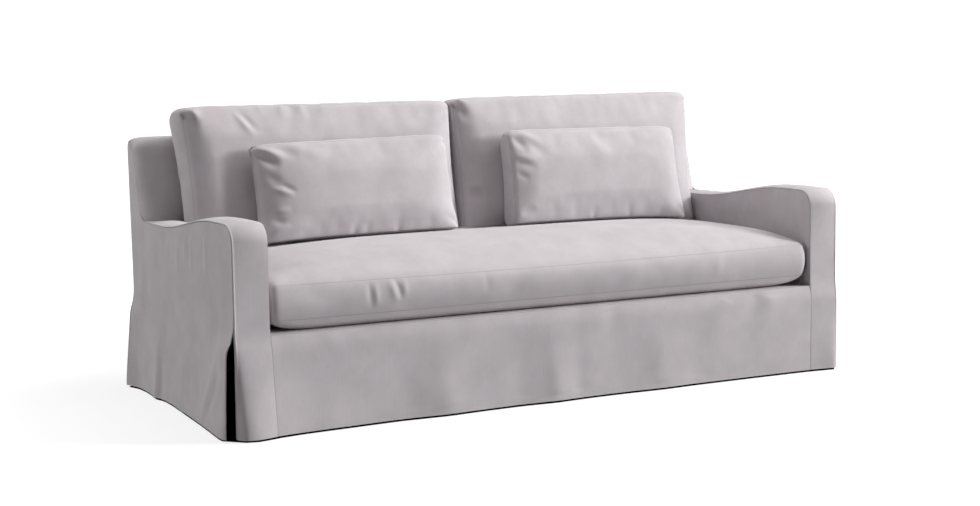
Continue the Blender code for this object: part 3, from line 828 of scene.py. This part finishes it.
def leaning_form(a, b, c, form, ends, leans, lifts, rolls, crown, swells):
    """A boxed cushion that stands on the bench and leans back."""
    a, b, c = np.array(a), np.array(b), np.array(c)
    up, back = (c + 1) / 2, (b + 1) / 2
    corners = {key: np.array([0.0, *value]) for key, value in form.items()}
    foot = between(corners["front_foot"], corners["rear_foot"], back[:, None])
    head = between(corners["front_head"], corners["rear_head"], back[:, None])
    points = between(foot, head, up[:, None])
    half_x = (ends[1] - ends[0]) / 2
    half_z = (form["front_head"][1] - form["front_foot"][1]) / 2
    side_gap, end_gap = (1 - np.abs(a)) * half_x, (1 - np.abs(c)) * half_z
    bulge = 1 - b * b
    near_side, near_top = np.abs(a) ** 16, np.maximum(0, c) ** 10
    draw = 0.008 * (1 - c * c) * near_side + swells[0] * near_side * (1 - 2 * bulge)
    reach = half_x + between(leans[0], leans[1], (a + 1) / 2) * up
    across, rise = round_corners(half_x * a, half_z * c, half_x, half_z, CORNER)
    points += (rise / half_z - c)[:, None] / 2 * (head - foot)
    points[:, 0] = (ends[0] + ends[1]) / 2 + across / half_x * reach - np.sign(a) * draw
    points[:, 2] += up * between(lifts[0], lifts[1], (a + 1) / 2) - 0.008 * np.abs(a) ** 9 * near_top
    points[:, 2] += near_top * (swells[1] * bulge - 0.005)
    ahead = np.array([0, -1, 0.2]) / math.hypot(1, 0.2)
    gaps = (side_gap, side_gap, end_gap)
    left, right, end = [depth * quarter(gap, reach) for (depth, reach), gap in zip(rolls, gaps)]
    rolled_off = np.minimum(np.where(a < 0, left, right) + end, 1.15 * max(rolls)[0])
    out = crown * swell(a, c) - rolled_off
    out = np.where(b < 0, out, np.minimum(out, crown * swell(a, c) - 0.4 * rolled_off))
    points += ahead * (-b * out)[:, None]
    return points


# %% [markdown]
# ## Filling
#
# The filling is a cloth simulation. The seams are held, the cloth is given a little slack, and air pressure
# pushes it out for twenty frames with no gravity. Slack cloth finds its own shallow hollows, which no formula
# gives. The finest of its wrinkles are combed out, because this cloth is thick and stretched smooth, and how far
# a point may move is capped, so that the cushion keeps its measured size. The main creases are drawn one by one.


# %% Filling
FRAMES = 20
FILLING = {"quality": 5, "mass": 0.3, "vertex_group_mass": "held", "tension_stiffness": 12}
FILLING |= {"compression_stiffness": 12, "shear_stiffness": 6, "bending_stiffness": 4.0}
FILLING |= {"use_pressure": True, "uniform_pressure_force": 4.0}


def combed(cushion, move, times):
    """Spreads each point's move over its neighbours, which leaves the broad folds and takes out the fine ones."""
    ends = np.empty(len(cushion.data.edges) * 2, int)
    cushion.data.edges.foreach_get("vertices", ends)
    one, other = ends.reshape(-1, 2).T
    count = np.bincount(ends, minlength=len(move))
    for _ in range(times):
        around = [
            np.bincount(one, move[other, axis], len(move)) + np.bincount(other, move[one, axis], len(move))
            for axis in range(3)
        ]
        move = 0.4 * move + 0.6 * np.stack(around, 1) / count[:, None]
    return move


def filled(cushion, held, slack, cap, comb):
    """Cloth simulation under pressure. held is each point's hold from 0 to 1, cap the longest way it may move."""
    before = points_of(cushion)
    group = cushion.vertex_groups.new(name="held")
    for hold in np.unique(held):
        group.add([int(i) for i in np.flatnonzero(held == hold)], float(hold), "REPLACE")
    alone(cushion)
    cloth = cushion.modifiers.new("cloth", "CLOTH")
    for key, value in FILLING.items():
        setattr(cloth.settings, key, value)
    cloth.settings.shrink_min = -slack
    cloth.settings.effector_weights.gravity = 0
    cloth.point_cache.frame_start, cloth.point_cache.frame_end = 1, FRAMES
    for frame_number in range(1, FRAMES + 1):
        bpy.context.scene.frame_set(frame_number)
    bpy.ops.object.modifier_apply(modifier=cloth.name)
    bpy.context.scene.frame_set(1)
    cushion.vertex_groups.clear()
    move = combed(cushion, points_of(cushion) - before, comb)
    far = np.linalg.norm(move, axis=1)
    kept = np.minimum(1, np.asarray(cap) / np.maximum(far, 1e-9))
    put_points(cushion, before + move * kept[:, None])
    way = far * kept * 1000
    print(cushion.name, "moved up to", round(float(way.max()), 1), "mm, on average", round(float(way.mean()), 1))


def creased(cushion, flat, faces, creases):
    """Moves the points of some faces along their normals by the sum of soft creases drawn on two flat columns."""
    lift = sum((fold(flat, *one) for one in creases), np.zeros(len(flat)))
    put_points(cushion, points_of(cushion) + normals_of(cushion) * (lift * faces)[:, None])


def stuffed(cushion, stands_for, material):
    cushion.data.attributes.remove(cushion.data.attributes["place"])
    cushion.data.materials.clear()
    cushion.data.materials.append(material)
    alone(cushion)
    bpy.ops.object.shade_smooth()
    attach(cushion, "root")
    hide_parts(stands_for)
    print(cushion.name, "faces", len(cushion.data.polygons))


# %% Pressing a cushion against what it leans on
def pressed(cushion, against, direction, clear=0.0):
    """Pushes back what lies beyond a surface, or nearer to it than each point's clearance."""
    graph = bpy.context.evaluated_depsgraph_get()
    wall = BVHTree.FromObject(against, graph)
    direction = Vector(direction)
    points = points_of(cushion)
    kept = PRESSED + np.zeros(len(points)) + clear
    for i, point in enumerate(points):
        hit, _, _, distance = wall.ray_cast(Vector(point) - direction, direction)
        if hit and distance < 1.0 + kept[i]:
            points[i] = Vector(point) + direction * (distance - kept[i] - 1.0)
    put_points(cushion, points)


def seated(points, up, foot, clear):
    """Lifts the lower part of a leaning cushion's points, so that its foot follows the crown of the bench."""
    seat = BVHTree.FromObject(bench, bpy.context.evaluated_depsgraph_get())
    for i, (x, y, _) in enumerate(points):
        hit = seat.ray_cast(Vector((x, y, 1.0)), Vector((0, 0, -1)))[0]
        if hit:
            points[i, 2] += max(0.0, hit.z + clear[i] - foot) * (1 - smooth(up[i] / 0.4))
    return points


# %% Bench cushion
BENCH_CREASES = [
    # on the front boxing: start x and z, end x and z, two widths, height
    (-667, 434, -657, 342, 9, 12, -28), (-645, 434, -640, 345, 9, 12, 24), (-600, 436, -572, 352, 10, 13, 28),
    (-578, 437, -558, 365, 8, 10, -28), (-548, 438, -546, 360, 9, 12, 22),
    (-265, 438, -262, 360, 12, 18, -18), (-900, 430, -740, 370, 26, 36, -24),
    (300, 430, 420, 370, 26, 36, -20), (620, 436, 600, 350, 14, 20, 16),
]
bench, (a, b, c) = cells_of("bench_pad", (28, 11, 2), 2)
put_points(bench, bench_form(a, b, c))


def bench_gap(a, b, c):
    on_panel = np.minimum((1 - np.abs(a)) * BENCH_X, (1 - np.abs(b)) * BENCH_Y)
    on_boxing = (1 - np.abs(c)) * (BENCH_SEAM_HIGH - BENCH_SEAM_LOW) / 2
    return np.where(np.abs(c) > ON_PANEL, on_panel, -on_boxing)


gap = bench_gap(a, b, c)
held = np.where(np.abs(gap) < 1e-6, 0.9, np.where((c <= -1) & (gap > UNDER_ROLL), 1.0, 0.0))
filled(bench, held, slack=0.004, cap=0.010, comb=4)
subdivided(bench, 2)
a, b, c = places_of(bench)
keep_seam(bench, bench_gap(a, b, c) * SEAM_GAP)
creased(bench, points_of(bench)[:, [0, 2]], (b < -ON_PANEL) * 1.0, BENCH_CREASES)
stuffed(bench, "seat_cushion", twill_flat)

# %% Back cushions and small pads
# Creases are drawn on the panel's own two sizes: across from its left seam, and up from its lower seam.
BACK_LEFT_CREASES = [
    (0, 450, 50, 400, 12, 18, -150, "end"), (20, 470, 55, 425, 10, 14, 90),
    (45, 470, 66, 340, 14, 26, 50, "end"), (168, 455, 232, 362, 9, 13, 46), (192, 450, 246, 372, 10, 14, -40),
    (262, 470, 275, 410, 12, 18, 28, "end"), (335, 470, 340, 410, 12, 20, 40, "end"),
    (372, 470, 376, 425, 12, 18, -30, "end"), (405, 470, 412, 405, 12, 20, 40, "end"),
    (480, 470, 485, 420, 12, 20, 30, "end"), (0, 20, 80, 90, 14, 26, -60, "end"),
    (975, 450, 900, 390, 14, 28, -60, "end"), (975, 100, 900, 140, 16, 30, -40, "end"),
    (600, 440, 850, 360, 40, 60, 30),
]
BACK_RIGHT_CREASES = [
    (-6, 455, 65, 385, 14, 22, -130, "end"), (24, 474, 80, 430, 11, 18, 70, "end"),
    (20, 160, 90, 172, 11, 20, 50), (20, 128, 80, 135, 11, 20, -50), (978, 450, 900, 400, 14, 28, -80, "end"),
    (978, 30, 900, 120, 16, 30, -70, "end"), (600, 470, 590, 420, 12, 20, 35, "end"),
    (420, 470, 430, 420, 12, 20, 30, "end"), (250, 430, 450, 380, 40, 60, 30),
]
SMALL_LEFT_CREASES = [
    (6, 322, 84, 268, 13, 18, -92), (0, 350, 102, 292, 12, 17, 85), (60, 342, 150, 300, 12, 22, -45),
    (110, 345, 250, 285, 16, 30, 50), (28, 262, 85, 195, 16, 22, -50), (40, 204, 118, 172, 9, 11, 55),
    (72, 214, 124, 182, 8, 10, -45), (46, 122, 100, 126, 10, 12, 40), (36, 102, 80, 68, 13, 18, -50),
    (20, 30, 90, 70, 14, 22, 40), (318, -10, 324, 55, 10, 16, -38, "end"),
    (340, -10, 344, 45, 10, 14, 24, "end"), (368, -10, 366, 50, 10, 14, -32, "end"),
    (481, -10, 476, 55, 10, 16, -34, "end"), (720, 330, 640, 290, 14, 26, -80, "end"),
    (720, 20, 640, 70, 14, 26, -80, "end"), (240, 300, 420, 210, 50, 70, 30),
    (300, 120, 520, 160, 50, 70, -30),
]
SMALL_RIGHT_CREASES = [
    (8, 330, 75, 275, 14, 20, -75), (60, 318, 150, 246, 14, 24, -45), (30, 348, 130, 296, 12, 20, 50),
    (14, 240, 100, 218, 10, 15, -45), (14, 260, 100, 238, 10, 15, 34), (14, 202, 68, 178, 10, 14, -34),
    (290, 335, 420, 225, 30, 50, 40), (350, 340, 460, 260, 30, 46, -45), (20, 30, 80, 66, 14, 22, -50),
    (320, -10, 318, 55, 10, 16, -38, "end"), (470, -10, 466, 55, 10, 16, -34, "end"),
    (600, -10, 596, 45, 10, 16, -30, "end"), (722, 330, 640, 280, 14, 28, -80, "end"),
    (722, 20, 640, 70, 14, 26, -80, "end"), (150, 140, 380, 100, 50, 70, -30),
]
FOOT_GAP = 0.013  # the small pads' front seam stands off the bench, and the dark gap under it shows
BACK_ROLLS = ((0.024, 0.080), (0.024, 0.080), (0.007, 0.040))
FLAT_ROLLS = ((0.024, 0.080), (0.012, 0.060), (0.007, 0.040))
SOFT_ROLLS = ((0.046, 0.135), (0.026, 0.100), (0.012, 0.060))
FIRM_ROLLS = ((0.012, 0.060), (0.022, 0.090), (0.012, 0.060))
LOOSE = [
    # piece, node, form, ends at the foot, leans at the head, lifts of the top corners, rolls, creases
    ("back_pad_left", "back_cushion_left", BACK_FORM)
    + ((-0.980, -0.004), (0.014, 0.004), (0.006, 0.004), BACK_ROLLS, BACK_LEFT_CREASES),
    ("back_pad_right", "back_cushion_right", BACK_FORM)
    + ((0.002, 0.978), (0.004, 0.016), (0.010, 0.012), FLAT_ROLLS, BACK_RIGHT_CREASES),
    ("small_pad_left", "lumbar_pillow_left", LUMBAR_FORM)
    + ((-0.792, -0.072), (0.004, -0.014), (-0.006, 0.006), SOFT_ROLLS, SMALL_LEFT_CREASES),
    ("small_pad_right", "lumbar_pillow_right", LUMBAR_FORM)
    + ((0.138, 0.860), (-0.012, -0.010), (0.010, 0.004), FIRM_ROLLS, SMALL_RIGHT_CREASES),
]


def loose_gap(a, b, c, half_x, half_z):
    on_panel = np.minimum((1 - np.abs(a)) * half_x, (1 - np.abs(c)) * half_z)
    return np.where(np.abs(b) > ON_PANEL, on_panel, -0.07 * (1 - np.abs(b)))


for name, stands_for, form, ends, leans, lifts, rolls, creases in LOOSE:
    tall = form is BACK_FORM
    pad, (a, b, c) = cells_of(name, (20, 3, 10) if tall else (18, 3, 9), 2)
    half_x, half_z = (ends[1] - ends[0]) / 2, (form["front_head"][1] - form["front_foot"][1]) / 2
    crown, swells = (0.022, (0.006, 0.020)) if tall else (0.018, (0.001, 0.013))
    shape = leaning_form(a, b, c, form, ends, leans, lifts, rolls, crown, swells)
    if not tall:
        shape = seated(shape, (c + 1) / 2, form["front_foot"][1], FOOT_GAP * (1 - smooth((b + 1) / 1.9)))
    put_points(pad, shape)
    held = np.where(np.abs(loose_gap(a, b, c, half_x, half_z)) < 1e-6, 0.8, 0.0)
    filled(pad, held, slack=0.006, cap=0.012, comb=3)
    subdivided(pad, 1)
    a, b, c = places_of(pad)
    keep_seam(pad, loose_gap(a, b, c, half_x, half_z) * SEAM_GAP)
    creased(pad, np.stack([(a + 1) * half_x, (c + 1) * half_z], 1), (b < -ON_PANEL) * 1.0, creases)
    pressed(pad, bench, (0, 0, -1), 0.0 if tall else FOOT_GAP * (1 - smooth((b + 1) / 1.9)))
    if tall:
        pressed(pad, back, (0, 1, 0))
    stuffed(pad, stands_for, twill_up)

# %% [markdown]
# ## Floor and light
#
# A wide sweep of pale paper runs from under the sofa up and round it, as a studio's cove does, so no edge shows in
# any direction. It is evenly lit on its own, and kept from lighting the cloth. A board a little smaller than the
# hem
# lies on the paper under the cover: it keeps the lamps below the paper from lighting the inside, and it is black
# as painted shade, so that the gap under the hem shows dark. Its edge slopes up to eight millimetres, which closes
# the view out under the far hem.


# %% Floor
def matt(name, hex_code, near=0.0, far=0.0):
    """A matt surface that glows a little near the middle of the floor and more from three metres out."""
    made, tree, shader = new_material(name)
    dialled(shader, {"Base Color": linear(hex_code), "Emission Color": (1, 1, 1, 1)})
    dialled(shader, {"Roughness": 0.95, "Specular IOR Level": 0.0})
    place = node(tree, "TexCoord").outputs["Object"]
    reach = node(tree, "VectorMath", {0: place}, operation="LENGTH")
    sockets = {"Value": reach.outputs["Value"], "From Min": 1.3, "From Max": 2.7, "To Min": near, "To Max": far}
    glow = node(tree, "MapRange", sockets, interpolation_type="SMOOTHSTEP")
    tree.links.new(glow.outputs["Result"], shader.inputs["Emission Strength"])
    return made


def edit_edges():
    """Edit mode, with all edges selected."""
    bpy.ops.object.mode_set(mode="EDIT")
    bpy.ops.mesh.select_mode(type="EDGE")
    bpy.ops.mesh.select_all(action="SELECT")


PAPER_DROP = 0.007  # the paper lies this far below the hem
BOARD_TOP, BOARD_FALL = 0.008, 0.0145

bpy.ops.object.select_all(action="DESELECT")
bpy.ops.mesh.primitive_circle_add(vertices=64, radius=4.0, fill_type="NGON", location=(0, 0, 0))
floor = bpy.context.object
floor.name = "paper_sweep"
edit_edges()
for wider, higher in ((2.4, 0.0), (1.25, 0.5), (1.10, 1.6), (1.04, 4.0), (1.0, 8.0)):
    bpy.ops.mesh.extrude_edges_move(TRANSFORM_OT_translate={"value": (0, 0, higher)})
    bpy.ops.transform.resize(value=(wider, wider, 1), center_override=(0, 0, 0))
bpy.ops.object.mode_set(mode="OBJECT")
put_points(floor, points_of(floor) - (0, 0, PAPER_DROP))
floor.data.materials.append(matt("matt_background_paper", "#949494", near=0.76, far=1.05))

hem = [(-HALF - along(SIDE_HEM, y), y) for y in np.linspace(0.50, -0.49, 34)]
hem += [(x, FRONT_Y - along(FRONT_HEM, x)) for x in np.linspace(-1.09, 1.09, 60)]
hem += [(HALF + along(SIDE_HEM, y) * along(RIGHT_SHARE, y), y) for y in np.linspace(-0.49, 0.50, 34)]
hem += [(x, REAR_FOOT_Y + along(REAR_HEM, x)) for x in np.linspace(1.09, -1.09, 40)]
bpy.ops.object.select_all(action="DESELECT")
bpy.ops.mesh.primitive_circle_add(vertices=len(hem), radius=1, fill_type="NGON", location=(0, 0, 0))
board = bpy.context.object
board.name = "painted_shade_board"
around = np.argsort(np.arctan2(points_of(board)[:, 1], points_of(board)[:, 0]))
edge = np.empty((len(hem), 3))
spots = sorted(hem, key=lambda spot: math.atan2(spot[1], spot[0]))
edge[around] = [(x * 0.985, y * 0.97, BOARD_TOP) for x, y in spots]
put_points(board, edge)
edit_edges()
bpy.ops.mesh.extrude_edges_move(TRANSFORM_OT_translate={"value": (0, 0, -BOARD_FALL)})
bpy.ops.transform.resize(value=(1.0125, 1.026, 1), center_override=(0, 0, 0))
bpy.ops.object.mode_set(mode="OBJECT")
# The board's black is painted shade, standing for the shadow under the cover.
board.data.materials.append(matt("matt_black_painted_shade", "#101010"))
floor.visible_diffuse = False
floor.visible_shadow = False

# %% [markdown]
# ## Light
#
# The light is a soft studio set. The key light is a tall one, low at the right front and 60 degrees off the sofa's
# front, so that it rakes across the fronts, shapes their folds and throws the pillows' soft shadows to the left.
# Two discs make its lower and upper halves. An upper lamp and a broad one overhead light the tops, and two weak
# ones at the left and behind keep the near arm from going dark. A white floor would send light back up from the
# right front and the left, which two lamps below the paper do here. The room itself is dim.

# %% Lamps
scene = bpy.context.scene
scene.view_settings.view_transform = "Standard"


def lamp(name, turn, rise, away, size, radiance):
    """A disc lamp aimed at the sofa: degrees round from +X, degrees up, distance and diameter in metres."""
    turn, rise = math.radians(turn), math.radians(rise)
    aim = Vector((0, 0, 0.45))
    towards = Vector((math.cos(turn) * math.cos(rise), math.sin(turn) * math.cos(rise), math.sin(rise)))
    bpy.ops.object.select_all(action="DESELECT")
    bpy.ops.object.light_add(type="AREA", location=aim + towards * away)
    made = bpy.context.object
    made.name = name
    made.data.shape = "DISK"
    made.data.size = size
    made.data.energy = radiance * math.pi * math.pi * size * size / 4
    made.rotation_euler = towards.to_track_quat("Z", "Y").to_euler()
    made.visible_camera = False


lamp("key_lamp", turn=-30, rise=14, away=14.0, size=3.0, radiance=61)
lamp("key_lamp_upper_half", turn=-30, rise=26, away=14.0, size=3.0, radiance=26)
lamp("upper_lamp", turn=-16, rise=48, away=10.0, size=3.2, radiance=13.5)
lamp("top_lamp", turn=0, rise=88, away=4.5, size=3.6, radiance=3.1)
lamp("fill_lamp", turn=160, rise=28, away=6.5, size=4.2, radiance=2.3)
lamp("rear_fill_lamp", turn=135, rise=15, away=6.5, size=5.0, radiance=1.6)
lamp("bounce_lamp", turn=-42, rise=-12, away=8.0, size=5.0, radiance=2.3)
lamp("left_bounce_lamp", turn=-145, rise=-15, away=6.5, size=5.0, radiance=1.05)

# %% Room light
world = bpy.data.worlds.new("dim_room")
world.use_nodes = True
scene.world = world
tree = world.node_tree
tree.nodes.clear()
direction = node(tree, "TexCoord").outputs["Generated"]
height = node(tree, "SeparateXYZ", {"Vector": direction}).outputs["Z"]
upward = node(tree, "MapRange", {"Value": height, "From Min": -1.0, "From Max": 1.0})
room = node(tree, "ValToRGB", {"Fac": upward.outputs["Result"]})
ROOM = [(0.00, 0.02), (0.47, 0.02), (0.53, 0.06), (1.00, 0.06)]
for place, _ in ROOM[2:]:
    room.color_ramp.elements.new(place)
for element, (place, strength) in zip(room.color_ramp.elements, ROOM):
    element.position = place
    element.color = (strength, strength, strength, 1)
background = node(tree, "Background", {"Color": room.outputs["Color"], "Strength": 1.0})
node(tree, "OutputWorld", {"Surface": background.outputs["Background"]})
